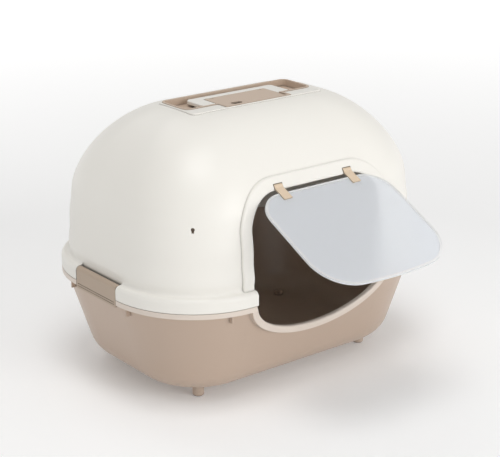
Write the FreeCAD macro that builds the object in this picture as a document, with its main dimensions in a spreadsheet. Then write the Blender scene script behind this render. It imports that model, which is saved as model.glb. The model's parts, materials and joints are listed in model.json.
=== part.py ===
"""A covered litter box: a tub on feet, a latched hood with a swinging flap, a carry handle and a filter."""
import FreeCAD, Part
import Sketcher
import math
import os
import re

doc = FreeCAD.newDocument("covered_litter_box")

# Driving sizes, in millimetres and degrees. Heights are above the floor, and the door faces -Y.
SIZES = {
    # the whole box
    "box_width": 620,
    "box_depth": 452,
    "rim_corner": 165,
    "plastic_wall": 3,
    "seat_gap": 0.4,
    "running_gap": 0.05,
    # the tub and its feet
    "foot_height": 20,
    "foot_diameter": 20,
    "foot_edge": 4,
    "foot_spread_x": 368,
    "foot_spread_y": 232,
    "spigot_diameter": 10,
    "spigot_length": 6,
    "rim_height": 187,
    "bead_height": 9,
    "bead_reach": 8,
    "tub_draft": 17.5,
    "tub_bottom_radius": 52,
    "lip_height": 8,
    "notch_width": 284,
    "notch_depth": 69,
    "notch_rise": 6,
    "notch_band": 13,
    "notch_edge": 2.5,
    "rib_width": 3,
    "rib_height": 13,
    "rib_from_middle_x": 187,
    "rib_from_middle_y": 84,
    # the hood
    "flange_height": 25,
    "flange_reach": 15,
    "flange_round": 8.5,
    "flange_blend": 6,
    "flange_foot_edge": 2,
    "flange_roof": 7,
    "skirt_depth": 8,
    "upright_height": 34,
    "shoulder_height": 324,
    "wall_lean": 7,
    "hood_height": 473,
    "top_width": 280,
    "top_depth": 110,
    "top_corner": 44,
    "shoulder_fullness": 1.65,
    "door_width": 280,
    "door_share": 0.275,
    "door_corner": 57,
    "frame_width": 22,
    "frame_proud": 5,
    "frame_edge": 4,
    "doorway_edge": 3,
    "keyhole_bearing": 52,
    "keyhole_head": 6.5,
    "keyhole_slot": 4,
    "keyhole_drop": 6,
    # the swinging flap and the clips that hang it
    "hinge_rise": 4.5,
    "hinge_sink": 1,
    "hinge_bar_diameter": 7,
    "clip_spacing": 150,
    "clip_width": 17,
    "clip_length": 32,
    "clip_wall": 2.4,
    "clip_play": 1,
    "peg_diameter": 5,
    "peg_inset": 5.5,
    "peg_head_diameter": 9,
    "flap_angle": 63.5,
    "flap_drop": 57.5,
    "flap_side_gap": 4,
    "flap_top_gap": 17,
    "flap_sheet": 2,
    "flap_edge_width": 4,
    "flap_edge_rise": 1,
    "flap_top_corner": 50,
    "flap_bottom_corner": 70,
    "flap_bottom_bow": 12,
    # the side latches
    "latch_length": 120,
    "latch_wall": 4,
    "latch_play": 1,
    "latch_drop": 4,
    "latch_edge": 1.2,
    "latch_pin_diameter": 4,
    "latch_pin_seat": 8,
    "latch_groove": 1,
    "latch_groove_pitch": 4,
    # the tray let into the hood's top
    "tray_width": 268,
    "tray_back": 45,
    "tray_front": 24,
    "tray_floor_depth": 11,
    "tray_corner": 9,
    "tray_wall": 2.5,
    "tray_lip": 2,
    "tray_lip_thick": 1.2,
    "pad_margin": 3,
    "pad_corner": 12,
    "pad_rise": 2,
    "pad_edge": 1.2,
    "well_floor_depth": 22,
    "vent_width": 4,
    "vent_pitch": 9,
    "barb_length": 14,
    "barb_reach": 1.6,
    # the carry handle
    "handle_leg_width": 27,
    "handle_thick": 7,
    "handle_grip_depth": 14,
    "handle_corner": 9,
    "handle_edge": 2,
    "handle_side_gap": 1,
    "handle_front_gap": 2,
    "handle_pivot_inset": 5,
    "handle_pin_diameter": 3,
    "handle_pin_seat": 14,
    "ear_width": 6,
    # the filter and its lid
    "lid_width": 132,
    "lid_front": 47,
    "lid_back": 19,
    "lid_thick": 2.5,
    "lid_sink": 0.6,
    "lid_corner": 5,
    "lid_edge": 0.8,
    "lid_grip_gap": 2,
    "lid_seat_gap": 0.3,
    "lid_pin_diameter": 3,
    "lid_knuckle_diameter": 6,
    "lid_knuckle_width": 11,
    "lid_ear_width": 6,
    "lid_ear_offset": 50,
    "finger_slot_length": 23,
    "finger_slot_width": 12,
    "finger_slot_x": 36,
    "finger_slot_y": 34,
    "filter_thick": 8,
    "filter_margin": 5,
}


def make_sheet():
    """Puts the sizes in a sheet, one named cell each."""
    page = doc.addObject("Spreadsheet::Sheet", "Sizes")
    for row, (name, size) in enumerate(SIZES.items(), start=1):
        page.set(f"A{row}", name)
        page.set(f"B{row}", str(size))
        page.setAlias(f"B{row}", name)
    doc.recompute()
    return page


sheet = make_sheet()


def formula(words):
    """Turns a formula of size names into one that points at the sheet's cells."""
    return re.sub(r"[a-z_]+", lambda word: f"Sizes.{word[0]}" if word[0] in SIZES else word[0], words)


def worth(words):
    """What a formula of size names comes to now."""
    return float(sheet.evalExpression(formula(words)))


def tie(item, links):
    """Binds properties of an item to formulas of size names."""
    for path, words in links.items():
        item.setExpression(path, formula(words))


def place(item, x="0", y="0", z="0"):
    tie(item, {"Placement.Base.x": x, "Placement.Base.y": y, "Placement.Base.z": z})


# Simple solids


def block(name, x, y, z):
    """A box between a low and a high formula along each axis."""
    item = doc.addObject("Part::Box", name)
    for side, axis, (low, high) in (("Length", "x", x), ("Width", "y", y), ("Height", "z", z)):
        tie(item, {side: f"({high}) - ({low})", f"Placement.Base.{axis}": low})
    return item


TURNS = {
    "x": FreeCAD.Rotation(FreeCAD.Vector(0, 1, 0), 90),
    "y": FreeCAD.Rotation(FreeCAD.Vector(1, 0, 0), -90),
    "z": FreeCAD.Rotation(),
}


def rod(name, diameter, length, along, x="0", y="0", z="0"):
    """A round bar that starts at a point and runs along one axis."""
    item = doc.addObject("Part::Cylinder", name)
    item.Placement = FreeCAD.Placement(FreeCAD.Vector(), TURNS[along])
    tie(item, {"Radius": f"({diameter}) / 2", "Height": length})
    place(item, x, y, z)
    return item


def join(name, *pieces):
    item = doc.addObject("Part::MultiFuse", name)
    item.Shapes = list(pieces)
    item.Refine = True
    return item


def cut(name, base, *tools):
    item = doc.addObject("Part::Cut", name)
    item.Base = base
    item.Tool = tools[0] if len(tools) == 1 else join(name + "_tools", *tools)
    return item


def overlap(name, *pieces):
    item = doc.addObject("Part::MultiCommon", name)
    item.Shapes = list(pieces)
    return item


def mirrored(name, item, normal):
    copy = doc.addObject("Part::Mirroring", name)
    copy.Source = item
    copy.Normal = normal
    return copy


def rounded(name, item, radius, wanted):
    """Rounds the edges of an item that the test picks out."""
    doc.recompute()
    size = worth(radius)
    item_edges = enumerate(item.Shape.Edges, start=1)
    copy = doc.addObject("Part::Fillet", name)
    copy.Base = item
    copy.Edges = [(number, size, size) for number, edge in item_edges if wanted(edge)]
    return copy


NEAR = 0.01


def lies_at(edge, axis, level):
    """True where the whole edge lies in the plane at that level across an axis."""
    low, high = getattr(edge.BoundBox, axis + "Min"), getattr(edge.BoundBox, axis + "Max")
    return abs(low - level) < NEAR and abs(high - level) < NEAR


def runs_along(edge, axis):
    """True where an edge is straight and parallel to an axis."""
    spans = {name: getattr(edge.BoundBox, name + "Length") for name in "XYZ"}
    long_side = spans.pop(axis)
    return long_side > NEAR and max(spans.values()) < NEAR


# Outlines


def rounded_outline(name, width, depth, corner, level):
    """A rectangle with round corners about the Z axis, drawn at a level."""
    sketch = doc.addObject("Sketcher::SketchObject", name)
    half_x, half_y, radius = worth(width) / 2, worth(depth) / 2, worth(corner)
    in_x, in_y = half_x - radius, half_y - radius
    upward = FreeCAD.Vector(0, 0, 1)

    def line(start, end):
        sketch.addGeometry(Part.LineSegment(FreeCAD.Vector(*start), FreeCAD.Vector(*end)))

    def arc(x, y, start):
        circle = Part.Circle(FreeCAD.Vector(x, y), upward, radius)
        sketch.addGeometry(Part.ArcOfCircle(circle, start, start + math.pi / 2))

    line((-in_x, -half_y), (in_x, -half_y))
    arc(in_x, -in_y, -math.pi / 2)
    line((half_x, -in_y), (half_x, in_y))
    arc(in_x, in_y, 0)
    line((in_x, half_y), (-in_x, half_y))
    arc(-in_x, in_y, math.pi / 2)
    line((-half_x, in_y), (-half_x, -in_y))
    arc(-in_x, -in_y, math.pi)
    sides, corners = (0, 2, 4, 6), (1, 3, 5, 7)
    for side in range(8):
        sketch.addConstraint(Sketcher.Constraint("Tangent", side, 2, (side + 1) % 8, 1))
    for number, side in enumerate(sides):
        sketch.addConstraint(Sketcher.Constraint("Vertical" if number % 2 else "Horizontal", side))
    for other in corners[1:]:
        sketch.addConstraint(Sketcher.Constraint("Equal", corners[0], other))
    sketch.addConstraint(Sketcher.Constraint("Symmetric", 1, 3, 5, 3, -1, 1))
    sizes = (
        (Sketcher.Constraint("Radius", 1, radius), corner),
        (Sketcher.Constraint("DistanceX", 6, 1, 2, 1, 2 * half_x), width),
        (Sketcher.Constraint("DistanceY", 0, 1, 4, 1, 2 * half_y), depth),
    )
    for constraint, words in sizes:
        number = sketch.addConstraint(constraint)
        tie(sketch, {f"Constraints[{number}]": words})
    place(sketch, z=level)
    return sketch


def slab(name, width, depth, corner, bottom, top):
    """An upright plate with round corners about the Z axis."""
    item = doc.addObject("Part::Extrusion", name)
    item.Base = rounded_outline(name + "_outline", width, depth, corner, bottom)
    item.DirMode = "Normal"
    item.Solid = True
    tie(item, {"LengthFwd": f"({top}) - ({bottom})"})
    return item


LOFT_DEGREE = 3


def loft(name, outlines, ruled=False):
    """A skin over outlines. A low degree keeps it from swinging in and out where they are unevenly spaced."""
    item = doc.addObject("Part::Loft", name)
    item.MaxDegree = LOFT_DEGREE
    item.Sections = outlines
    item.Solid = True
    item.Ruled = ruled
    return item


def rim_slab(name, inset, bottom, top):
    """A plate that keeps to the rim's outline, set in by an inset all round."""
    width = f"box_width - 2 * ({inset})"
    depth = f"box_depth - 2 * ({inset})"
    return slab(name, width, depth, f"rim_corner - ({inset})", bottom, top)


def arch(name, half_width, top, corner, bottom, front, back):
    """A doorway's prism: upright sides, a flat top and two round top corners, run from front to back."""
    inner = f"({half_width}) - ({corner})"
    spring = f"({top}) - ({corner})"
    deep = f"({back}) - ({front})"
    legs = block(name + "_legs", (f"-({half_width})", half_width), (front, back), (bottom, spring))
    crown = block(name + "_crown", (f"-({inner})", inner), (front, back), (spring, top))
    corners = [
        rod(f"{name}_corner_{side}", f"2 * ({corner})", deep, "y", f"{sign} * ({inner})", front, spring)
        for side, sign in (("left", "-1"), ("right", "1"))
    ]
    return join(name, legs, crown, *corners)


# Places that several pieces share

RIM_FOOT = "(rim_height - bead_height)"
FLANGE_TOP = "(rim_height + flange_height)"
UPRIGHT_TOP = "(rim_height + upright_height)"
LATCH_AXIS_X = "(box_width / 2 - (flange_reach - latch_play) / 2)"
LATCH_AXIS_Z = "(rim_height + flange_height - (flange_reach - latch_play) / 2)"
LATCH_BAY = "(latch_length / 2 + latch_play)"
SHOULDER_SPAN = "(hood_height - shoulder_height)"
DOOR_TOP = "(shoulder_height + (hood_height - shoulder_height) * door_share)"
HINGE_Z = f"({DOOR_TOP} + hinge_rise)"
FLAP_LENGTH = f"({HINGE_Z} - rim_height + flap_drop)"
TRAY_TOP = "(hood_height + pad_rise)"
TRAY_FLOOR = "(hood_height + pad_rise - tray_floor_depth)"
WELL_FLOOR = "(hood_height + pad_rise - well_floor_depth)"
WELL_GAP = "(lid_width / 2 + seat_gap)"
WELL_FRONT = "(lid_front + seat_gap)"
LID_TOP = "(hood_height + pad_rise - lid_sink)"
LID_AXIS_Y = "(lid_back - lid_knuckle_diameter / 2 - seat_gap)"
LID_AXIS_Z = "(hood_height + pad_rise - lid_sink - lid_knuckle_diameter / 2)"
HANDLE_TOP = "(hood_height + pad_rise - lid_sink)"
HANDLE_AXIS_Y = "(handle_front_gap + handle_pivot_inset - tray_front)"
HANDLE_AXIS_Z = "(hood_height + pad_rise - lid_sink - handle_thick / 2)"
LEG_INSIDE = "(lid_width / 2 + handle_side_gap)"
LEG_OUTSIDE = "(lid_width / 2 + handle_side_gap + handle_leg_width)"


def front_at(level, proud="0"):
    """How far the hood's front stands from the middle at a level on the shoulder."""
    rise = f"(({level}) - shoulder_height) / {SHOULDER_SPAN}"
    share = f"(1 - ({rise}) ^ shoulder_fullness) ^ (1 / shoulder_fullness)"
    wall = "(box_depth / 2 - flange_reach - wall_lean)"
    return f"(top_depth / 2 + ({wall} - top_depth / 2) * {share} + ({proud}))"


HINGE_Y = f"(hinge_bar_diameter / 2 + hinge_sink - {front_at(HINGE_Z, 'frame_proud')})"


# The tub


def tub_outline(name, inset, level):
    """The tub's drafted wall at a level, set in by an inset."""
    whole = f"(bead_reach + ({inset}) + ({RIM_FOOT} - ({level})) * tan(tub_draft))"
    width = f"box_width - 2 * {whole}"
    depth = f"box_depth - 2 * {whole}"
    return rounded_outline(name, width, depth, f"rim_corner - {whole}", level)


def tub_solid(name, inset, bottom, top, radius):
    outlines = [tub_outline(f"{name}_low", inset, bottom), tub_outline(f"{name}_high", inset, top)]
    plain = loft(name + "_plain", outlines, ruled=True)
    floor_level = worth(bottom)
    return rounded(name, plain, radius, lambda edge: lies_at(edge, "Z", floor_level))


def notch_prism(name, margin):
    """The oval prism of the entrance notch, grown by a margin."""
    oval = doc.addObject("Part::Ellipse", name + "_oval")
    oval.Placement = FreeCAD.Placement(FreeCAD.Vector(), FreeCAD.Rotation(FreeCAD.Vector(1, 0, 0), 90))
    tie(oval, {
        "MajorRadius": f"notch_width / 2 + ({margin})",
        "MinorRadius": f"notch_depth + notch_rise + ({margin})",
    })
    place(oval, z="rim_height + notch_rise", y="-box_depth / 4")
    prism = doc.addObject("Part::Extrusion", name)
    prism.Base = oval
    prism.DirMode = "Custom"
    prism.Dir = FreeCAD.Vector(0, -1, 0)
    prism.Solid = True
    tie(prism, {"LengthFwd": "box_depth / 2"})
    return prism


def on_the_oval(edge):
    """True for an edge along the notch's oval, apart from one that runs straight from front to back."""
    half, drop = worth("notch_width / 2"), worth("notch_depth + notch_rise")
    level = worth("rim_height + notch_rise")
    first, last = edge.FirstParameter, edge.LastParameter
    points = [edge.valueAt(first + (last - first) * share) for share in (0, 0.5, 1)]
    misses = [abs(math.hypot(point.x / half, (point.z - level) / drop) - 1) for point in points]
    return max(misses) < NEAR / half and edge.BoundBox.YMax < 0 and not runs_along(edge, "Y")


def side_pair(name, x, y, z):
    """A block on the right side and its mirror on the left."""
    right = block(name + "_right", x, y, z)
    left = block(name + "_left", (f"-({x[1]})", f"-({x[0]})"), y, z)
    return [right, left]


def corner_places(spread_x, spread_y):
    """The four corners of a rectangle about the origin, with the names of their places."""
    for end, down in (("front", "-1"), ("back", "1")):
        for side, across in (("left", "-1"), ("right", "1")):
            yield f"{end}_{side}", f"{across} * {spread_x} / 2", f"{down} * {spread_y} / 2"


def tub_ribs():
    """Small webs under the rim at the front, the back and both sides."""
    ribs = []
    for sign, word in (("-1", "low"), ("1", "high")):
        x_middle = f"{sign} * rib_from_middle_x"
        y_middle = f"{sign} * rib_from_middle_y"
        level = (f"{RIM_FOOT} - rib_height", RIM_FOOT)
        outer, inner = "box_depth / 2 - bead_reach / 3", "box_depth / 2 - 2 * bead_reach"
        across = (f"{x_middle} - rib_width / 2", f"{x_middle} + rib_width / 2")
        ribs.append(block(f"rib_front_{word}", across, (f"-({outer})", f"-({inner})"), level))
        ribs.append(block(f"rib_back_{word}", across, (inner, outer), level))
        along = (f"{y_middle} - rib_width / 2", f"{y_middle} + rib_width / 2")
        outer, inner = "box_width / 2 - bead_reach / 3", "box_width / 2 - 2 * bead_reach"
        ribs += side_pair(f"rib_side_{word}", (inner, outer), along, level)
    limit = rim_slab("rib_limit", "bead_reach / 3", f"{RIM_FOOT} - rib_height", RIM_FOOT)
    return overlap("tub_ribs", join("rib_blocks", *ribs), limit)


def make_base_tray():
    outside = tub_solid("tub_outside", "0", "foot_height", RIM_FOOT, "tub_bottom_radius")
    inside = tub_solid("tub_inside", "plastic_wall", "foot_height + plastic_wall", "rim_height + lip_height",
                       "tub_bottom_radius - plastic_wall")
    bead = rim_slab("rim_bead", "0", RIM_FOOT, "rim_height")
    swollen_outlines = [
        tub_outline("swollen_low", "-bead_reach", "foot_height"),
        tub_outline("swollen_high", "-bead_reach", RIM_FOOT),
    ]
    band = overlap("notch_band_solid", loft("swollen_tub", swollen_outlines, ruled=True),
                   notch_prism("notch_outer", "notch_band"))
    shell = cut("tub_shell", join("tub_skin", outside, bead, band, tub_ribs()), inside)
    lip_outer = rim_slab("lip_outer", "plastic_wall + seat_gap", "rim_height", "rim_height + lip_height")
    lip_inner = rim_slab("lip_inner", "2 * plastic_wall + seat_gap", "rim_height", "rim_height + lip_height")
    lip_bay = f"{LATCH_BAY} + latch_pin_seat + 2 * plastic_wall"
    lip_stops = side_pair("lip_stop", ("box_width / 2 - rim_corner / 2", "box_width / 2"),
                          (f"-({lip_bay})", lip_bay), ("rim_height", "rim_height + lip_height"))
    lip_door = block("lip_door", ("-door_width / 2 - 2 * plastic_wall", "door_width / 2 + 2 * plastic_wall"),
                     ("-box_depth / 2", "0"), ("rim_height", "rim_height + lip_height"))
    lip = cut("rim_lip", lip_outer, lip_inner, lip_door, *lip_stops)
    bays = side_pair("bead_bay", ("box_width / 2 - latch_wall - seat_gap", "box_width / 2 + latch_wall"),
                     (f"-{LATCH_BAY}", LATCH_BAY), (f"{RIM_FOOT} - latch_drop", "rim_height + lip_height"))
    bosses, sockets = [], []
    for where, x, y in corner_places("foot_spread_x", "foot_spread_y"):
        bosses.append(rod(f"boss_{where}", "spigot_diameter + 2 * plastic_wall",
                          "spigot_length + 2 * plastic_wall", "z", x, y, "foot_height"))
        sockets.append(rod(f"socket_{where}", "spigot_diameter + 2 * running_gap",
                           "spigot_length + seat_gap", "z", x, y, "foot_height"))
    whole = join("tub_whole", shell, lip, *bosses)
    notched = cut("tub_notched", whole, notch_prism("notch", "0"), *bays, *sockets)
    return rounded("base_tray", notched, "notch_edge", on_the_oval)


def make_foot(where, x, y):
    """A round foot with a soft lower edge and a spigot pressed up into the tub."""
    leg = rod(f"foot_leg_{where}", "foot_diameter", "foot_height", "z", x, y)
    soft = rounded(f"foot_soft_{where}", leg, "foot_edge", lambda edge: lies_at(edge, "Z", 0))
    spigot = rod(f"foot_spigot_{where}", "spigot_diameter", "foot_height + spigot_length", "z",
                 x, y, "foot_edge")
    trim = block(f"foot_trim_{where}", (f"{x} - foot_diameter", f"{x} + foot_diameter"),
                 (f"{y} - foot_diameter", f"{y} + foot_diameter"),
                 ("foot_height + spigot_length", "foot_height + 2 * spigot_length + foot_edge"))
    return cut(f"foot_{where}", join(f"foot_whole_{where}", soft, spigot), trim)


# The hood

WALL_PARTS = 4
SHOULDER_STEPS = (0, 10, 20, 30, 40, 50, 60, 70, 80, 90)


def hood_outline(name, inset, level):
    width = f"box_width - 2 * ({inset})"
    depth = f"box_depth - 2 * ({inset})"
    return rounded_outline(name, width, depth, f"rim_corner - ({inset})", level)


def shoulder_outline(name, skin, step):
    """The shoulder's outline at a step of its quarter oval. A skin above nought lies inside the hood."""
    across = f"(cos({step}) ^ (2 / shoulder_fullness))" if step < 90 else "0"
    upward = f"(sin({step}) ^ (2 / shoulder_fullness))" if step > 0 else "0"
    wall = f"(flange_reach + wall_lean + ({skin}))"
    width = f"top_width + (box_width - 2 * {wall} - top_width) * {across}"
    depth = f"top_depth + (box_depth - 2 * {wall} - top_depth) * {across}"
    corner = f"top_corner + (rim_corner - {wall} - top_corner) * {across}"
    level = f"shoulder_height + ({SHOULDER_SPAN} - ({skin})) * {upward}"
    return rounded_outline(name, width, depth, corner, level)


def hood_solid(name, skin):
    """The hood's whole body, in by a skin: an upright wall that leans in and rolls over to a flat top."""
    inset = f"flange_reach + ({skin})"
    outlines = []
    for part in range(WALL_PARTS):
        share = part / WALL_PARTS
        level = f"{UPRIGHT_TOP} + (shoulder_height - {UPRIGHT_TOP}) * {share}"
        outlines.append(hood_outline(f"{name}_wall_{part}", f"{inset} + wall_lean * {share ** 2}", level))
    outlines += [shoulder_outline(f"{name}_step_{step}", skin, step) for step in SHOULDER_STEPS]
    wall = rim_slab(f"{name}_upright", inset, "rim_height - skirt_depth", UPRIGHT_TOP)
    return join(name, loft(f"{name}_loft", outlines), wall)


def make_flange():
    """The hood's rounded skirt, with a soft outer edge and a hollow for the tub's lip."""
    plate = rim_slab("flange_plate", "0", "rim_height", FLANGE_TOP)
    wall = rim_slab("flange_wall", "flange_reach", "rim_height - skirt_depth", UPRIGHT_TOP)
    foot, top = worth("rim_height"), worth(FLANGE_TOP)
    topped = rounded("flange_topped", plate, "flange_round", lambda edge: lies_at(edge, "Z", top))
    soft = rounded("flange_soft", topped, "flange_foot_edge", lambda edge: lies_at(edge, "Z", foot))
    whole = join("flange_whole", soft, wall)
    half_x, half_y = worth("box_width / 2 - flange_reach"), worth("box_depth / 2 - flange_reach")

    def in_the_angle(edge):
        box = edge.BoundBox
        return lies_at(edge, "Z", top) and box.XMax < half_x + NEAR and box.YMax < half_y + NEAR \
            and box.XMin > -half_x - NEAR and box.YMin > -half_y - NEAR

    return rounded("flange", whole, "flange_blend", in_the_angle)


def make_flange_channel():
    """The hollow under the flange, stopped at the doorway and at the latches."""
    roof = f"{FLANGE_TOP} - flange_roof"
    outer = rim_slab("channel_outer", "plastic_wall", "rim_height", roof)
    inner = rim_slab("channel_inner", "flange_reach", "rim_height", roof)
    reach = f"{LATCH_BAY} + latch_pin_seat + plastic_wall"
    stops = side_pair("channel_stop", ("box_width / 2 - rim_corner / 2", "box_width / 2"),
                      (f"-({reach})", reach), ("rim_height", FLANGE_TOP))
    door = block("channel_door", ("-door_width / 2 - plastic_wall", "door_width / 2 + plastic_wall"),
                 ("-box_depth / 2", "0"), ("rim_height", FLANGE_TOP))
    return cut("flange_channel", outer, inner, door, *stops)


def make_doorway(name):
    return arch(name, "door_width / 2", DOOR_TOP, "door_corner", "rim_height - 2 * skirt_depth",
                "-box_depth", "-top_depth / 2")


def follows_arch(edge, margin):
    """True where the middle of an edge lies on the doorway's outline, grown by a margin."""
    middle = edge.valueAt((edge.FirstParameter + edge.LastParameter) / 2)
    corner = worth("door_corner") + margin
    across = abs(middle.x) - worth("door_width / 2") - margin + corner
    upward = middle.z - worth(DOOR_TOP) - margin + corner
    if upward < 0:
        return abs(across - corner) < NEAR
    if across < 0:
        return abs(upward - corner) < NEAR
    return abs(math.hypot(across, upward) - corner) < NEAR


def make_door_frame():
    """The raised border round the doorway, which follows the hood's own curve and has soft front edges."""
    border = arch("frame_arch", "door_width / 2 + frame_width", f"{DOOR_TOP} + frame_width",
                  "door_corner + frame_width", "rim_height", "-box_depth", "-top_depth / 2")
    raised = overlap("frame_raised", border, hood_solid("frame_skin", "-frame_proud"))
    ring = cut("frame_ring", raised, make_doorway("frame_doorway"))
    back, foot, wide = -worth("top_depth / 2 + frame_width"), worth("rim_height"), worth("frame_width")

    def at_the_front(edge):
        return edge.BoundBox.YMax < back and edge.BoundBox.ZMax > foot + NEAR

    outer = rounded("frame_outer", ring, "frame_edge",
                    lambda edge: at_the_front(edge) and follows_arch(edge, wide))
    return rounded("door_frame", outer, "doorway_edge",
                   lambda edge: at_the_front(edge) and follows_arch(edge, 0))


def make_keyhole():
    """A hanging hole through the corner of the hood: a round head over a narrow slot."""
    x = "-(box_width / 2 - rim_corner + (rim_corner - flange_reach) * cos(keyhole_bearing))"
    y = "-(box_depth / 2 - rim_corner + (rim_corner - flange_reach) * sin(keyhole_bearing))"
    run = "8 * plastic_wall"
    head = rod("keyhole_round", "keyhole_head", run, "x", f"-({run}) / 2", "0", "0")
    slot = block("keyhole_neck", (f"-({run}) / 2", f"({run}) / 2"), ("-keyhole_slot / 2", "keyhole_slot / 2"),
                 ("-keyhole_drop", "0"))
    hole = join("keyhole", head, slot)
    hole.Placement = FreeCAD.Placement(FreeCAD.Vector(), FreeCAD.Rotation(FreeCAD.Vector(0, 0, 1), 1))
    tie(hole, {"Placement.Rotation.Angle": "keyhole_bearing"})
    place(hole, x, y, "shoulder_height")
    return hole


def tray_plan(name, margin, bottom, top):
    """The tray's plan, a wide recess with a narrower well in front, grown by a margin."""
    recess_block = block(f"{name}_recess", (f"-tray_width / 2 - ({margin})", f"tray_width / 2 + ({margin})"),
                         (f"-tray_front - ({margin})", f"tray_back + ({margin})"), (bottom, top))
    recess = rounded(f"{name}_recess_round", recess_block, f"tray_corner + ({margin})",
                     lambda edge: runs_along(edge, "Z"))
    well = block(f"{name}_well", (f"-{WELL_GAP} - ({margin})", f"{WELL_GAP} + ({margin})"),
                 (f"-{WELL_FRONT} - ({margin})", "lid_back"), (bottom, top))
    return join(name, recess, well)


def clip_bays():
    """Slots above the doorway for the two clips, each with a round bar left across it."""
    slots, bars = [], []
    half = "(clip_width / 2 + clip_play)"
    height = "(hinge_bar_diameter / 2 + running_gap + clip_wall + clip_play)"
    for side, sign in (("left", "-1"), ("right", "1")):
        middle = f"{sign} * clip_spacing / 2"
        slots.append(block(f"clip_slot_{side}", (f"{middle} - {half}", f"{middle} + {half}"),
                           ("-box_depth / 2", "-top_depth / 2"),
                           (f"{DOOR_TOP} - hinge_rise", f"{HINGE_Z} + {height}")))
        bars.append(rod(f"hinge_bar_{side}", "hinge_bar_diameter", f"2 * {half} + 2 * plastic_wall", "x",
                        f"{middle} - {half} - plastic_wall", HINGE_Y, HINGE_Z))
    return slots, bars


def make_hood_shell():
    inside = join("hood_hollow", hood_solid("hood_inside", "plastic_wall"),
                  rim_slab("hood_mouth", "flange_reach + plastic_wall", "rim_height - 2 * skirt_depth",
                           UPRIGHT_TOP))
    margin = "tray_wall + tray_lip + pad_margin"
    pad = block("tray_pad", (f"-tray_width / 2 - ({margin})", f"tray_width / 2 + ({margin})"),
                (f"-{WELL_FRONT} - ({margin})", f"tray_back + ({margin})"),
                ("hood_height - 4 * plastic_wall", TRAY_TOP))
    pad_round = rounded("tray_pad_round", pad, "pad_corner", lambda edge: runs_along(edge, "Z"))
    top = worth(TRAY_TOP)
    pad_soft = rounded("tray_pad_soft", pad_round, "pad_edge", lambda edge: lies_at(edge, "Z", top))
    body = cut("hood_body", join("hood_bulk", hood_solid("hood_outside", "0"), make_flange(), pad_soft),
               make_doorway("doorway"))
    bordered = join("hood_bordered", body, make_door_frame())
    slots, bars = clip_bays()
    latch_bays = side_pair("latch_bay", ("box_width / 2 - flange_reach", "box_width / 2 + flange_reach"),
                           (f"-{LATCH_BAY}", LATCH_BAY),
                           ("rim_height - 2 * skirt_depth", f"{FLANGE_TOP} + flange_blend"))
    pin_run = f"{LATCH_BAY} + latch_pin_seat + running_gap"
    pin_holes = [
        rod(f"latch_bore_{side}", "latch_pin_diameter + 2 * running_gap", f"2 * ({pin_run})", "y",
            f"{sign} * {LATCH_AXIS_X}", f"-({pin_run})", LATCH_AXIS_Z)
        for side, sign in (("left", "-1"), ("right", "1"))
    ]
    opening = tray_plan("tray_opening", "tray_wall + seat_gap", f"{WELL_FLOOR} - 4 * tray_wall", TRAY_TOP)
    shell = cut("hood_cut", bordered, inside, make_flange_channel(), opening, make_keyhole(),
                *slots, *latch_bays, *pin_holes)
    return join("hood_shell", shell, *bars)


# The latches


def make_latch(side):
    """A lever that hangs from a pin, flush with the flange, and covers the joint between hood and tub."""
    x_axis = LATCH_AXIS_X
    half = "latch_length / 2"
    barrel = rod("latch_barrel_" + side, "flange_reach - latch_play", "latch_length", "y",
                 x_axis, f"-{half}", LATCH_AXIS_Z)
    plate = block("latch_plate_" + side, ("box_width / 2 - latch_wall", "box_width / 2"), (f"-{half}", half),
                  (f"{RIM_FOOT} - latch_drop", LATCH_AXIS_Z))
    bore = rod("latch_hole_" + side, "latch_pin_diameter + 2 * running_gap", "latch_length", "y",
               x_axis, f"-{half}", LATCH_AXIS_Z)
    grooves = []
    for count in (1, 2):
        level = f"{RIM_FOOT} - latch_drop + {count} * latch_groove_pitch"
        grooves.append(block(f"latch_groove_{side}_{count}",
                             ("box_width / 2 - latch_groove", "box_width / 2 + latch_groove"),
                             (f"-{half} + latch_wall", f"{half} - latch_wall"),
                             (level, f"{level} + latch_groove")))
    plain = cut("latch_plain_" + side, join("latch_joined_" + side, barrel, plate), bore, *grooves)
    end = worth(half)

    def round_the_ends(edge):
        box = edge.BoundBox
        is_bore = abs(box.XLength - box.ZLength) < NEAR
        return (lies_at(edge, "Y", -end) or lies_at(edge, "Y", end)) and not is_bore

    if side == "right":
        return rounded("latch_right", plain, "latch_edge", round_the_ends)
    return mirrored("latch_left", rounded("latch_left_turned", plain, "latch_edge", round_the_ends),
                    FreeCAD.Vector(1, 0, 0))


def make_latch_pin(side, sign):
    run = f"{LATCH_BAY} + latch_pin_seat"
    return rod("latch_pin_" + side, "latch_pin_diameter", f"2 * ({run})", "y",
               f"{sign} * {LATCH_AXIS_X}", f"-({run})", LATCH_AXIS_Z)


# The flap and its clips, drawn hanging from an axis through the origin and then swung open


PEG_DROP = "(clip_length - peg_inset)"
CLIP_DIAMETER = "(hinge_bar_diameter + 2 * running_gap + 2 * clip_wall)"


def swing_open(item):
    """Hangs an item on the hinge line and swings it out to the raised rest."""
    item.Placement = FreeCAD.Placement(FreeCAD.Vector(), FreeCAD.Rotation(FreeCAD.Vector(-1, 0, 0), 1))
    tie(item, {"Placement.Rotation.Angle": "flap_angle"})
    place(item, "0", HINGE_Y, HINGE_Z)
    return item


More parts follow.
